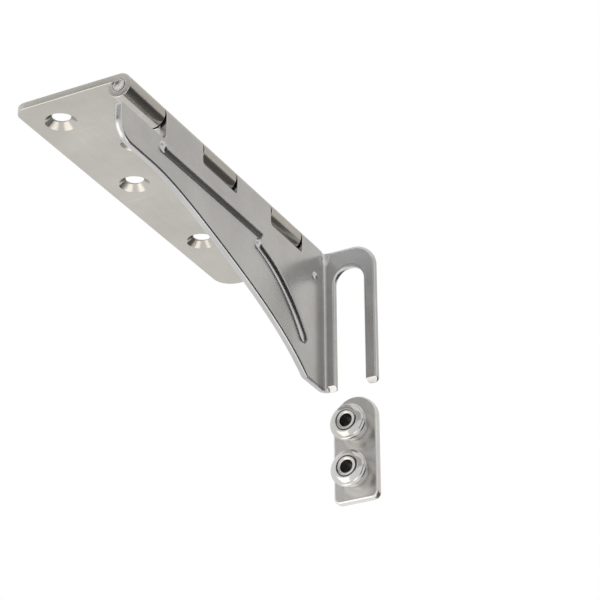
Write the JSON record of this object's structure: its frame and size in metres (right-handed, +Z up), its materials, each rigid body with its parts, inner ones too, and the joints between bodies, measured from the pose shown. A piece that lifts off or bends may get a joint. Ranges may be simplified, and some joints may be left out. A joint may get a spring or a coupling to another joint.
{
  "type": "removable table bracket",
  "caption": "Hinged stainless table bracket: a screw-on table plate, a folding support arm with a slotted hook flange, and a wall plate with two shouldered buttons.",
  "frame": {"origin": "Centre of the staggered screw pattern, in the top face of the table plate that bears on the underside of the table.", "axes": "+Z is up, out of the table plate's top face. +X runs along the hinge from the wall towards the table's middle. +Y runs from the table plate's free edge to the hinge and on to the hook."},
  "size_m": [0.1412, 0.0641, 0.098],
  "materials": {
    "table_plate": "satin stainless sheet",
    "hinge_pin": "turned stainless rod",
    "support_arm": "satin stainless sheet",
    "wall_plate": "satin stainless sheet",
    "buttons": "polished stainless"
  },
  "bodies": {
    "table_plate": {"table_plate": "table_plate", "hinge_pin": "hinge_pin"},
    "support_arm": {"support_arm": "support_arm"},
    "wall_plate": {"wall_plate": "wall_plate", "upper_button": "buttons", "lower_button": "buttons"}
  },
  "joints": [
    {"name": "fold", "type": "hinge", "parent": "table_plate", "child": "support_arm", "pos_m": [0, 0.02225, -0.0043], "axis": [-1, 0, 0], "range_deg": [0, 90]},
    {"name": "hook_on", "type": "slide", "parent": "support_arm", "child": "wall_plate", "axis": [0, 0, 1], "range_m": [0, 0.055]}
  ]
}
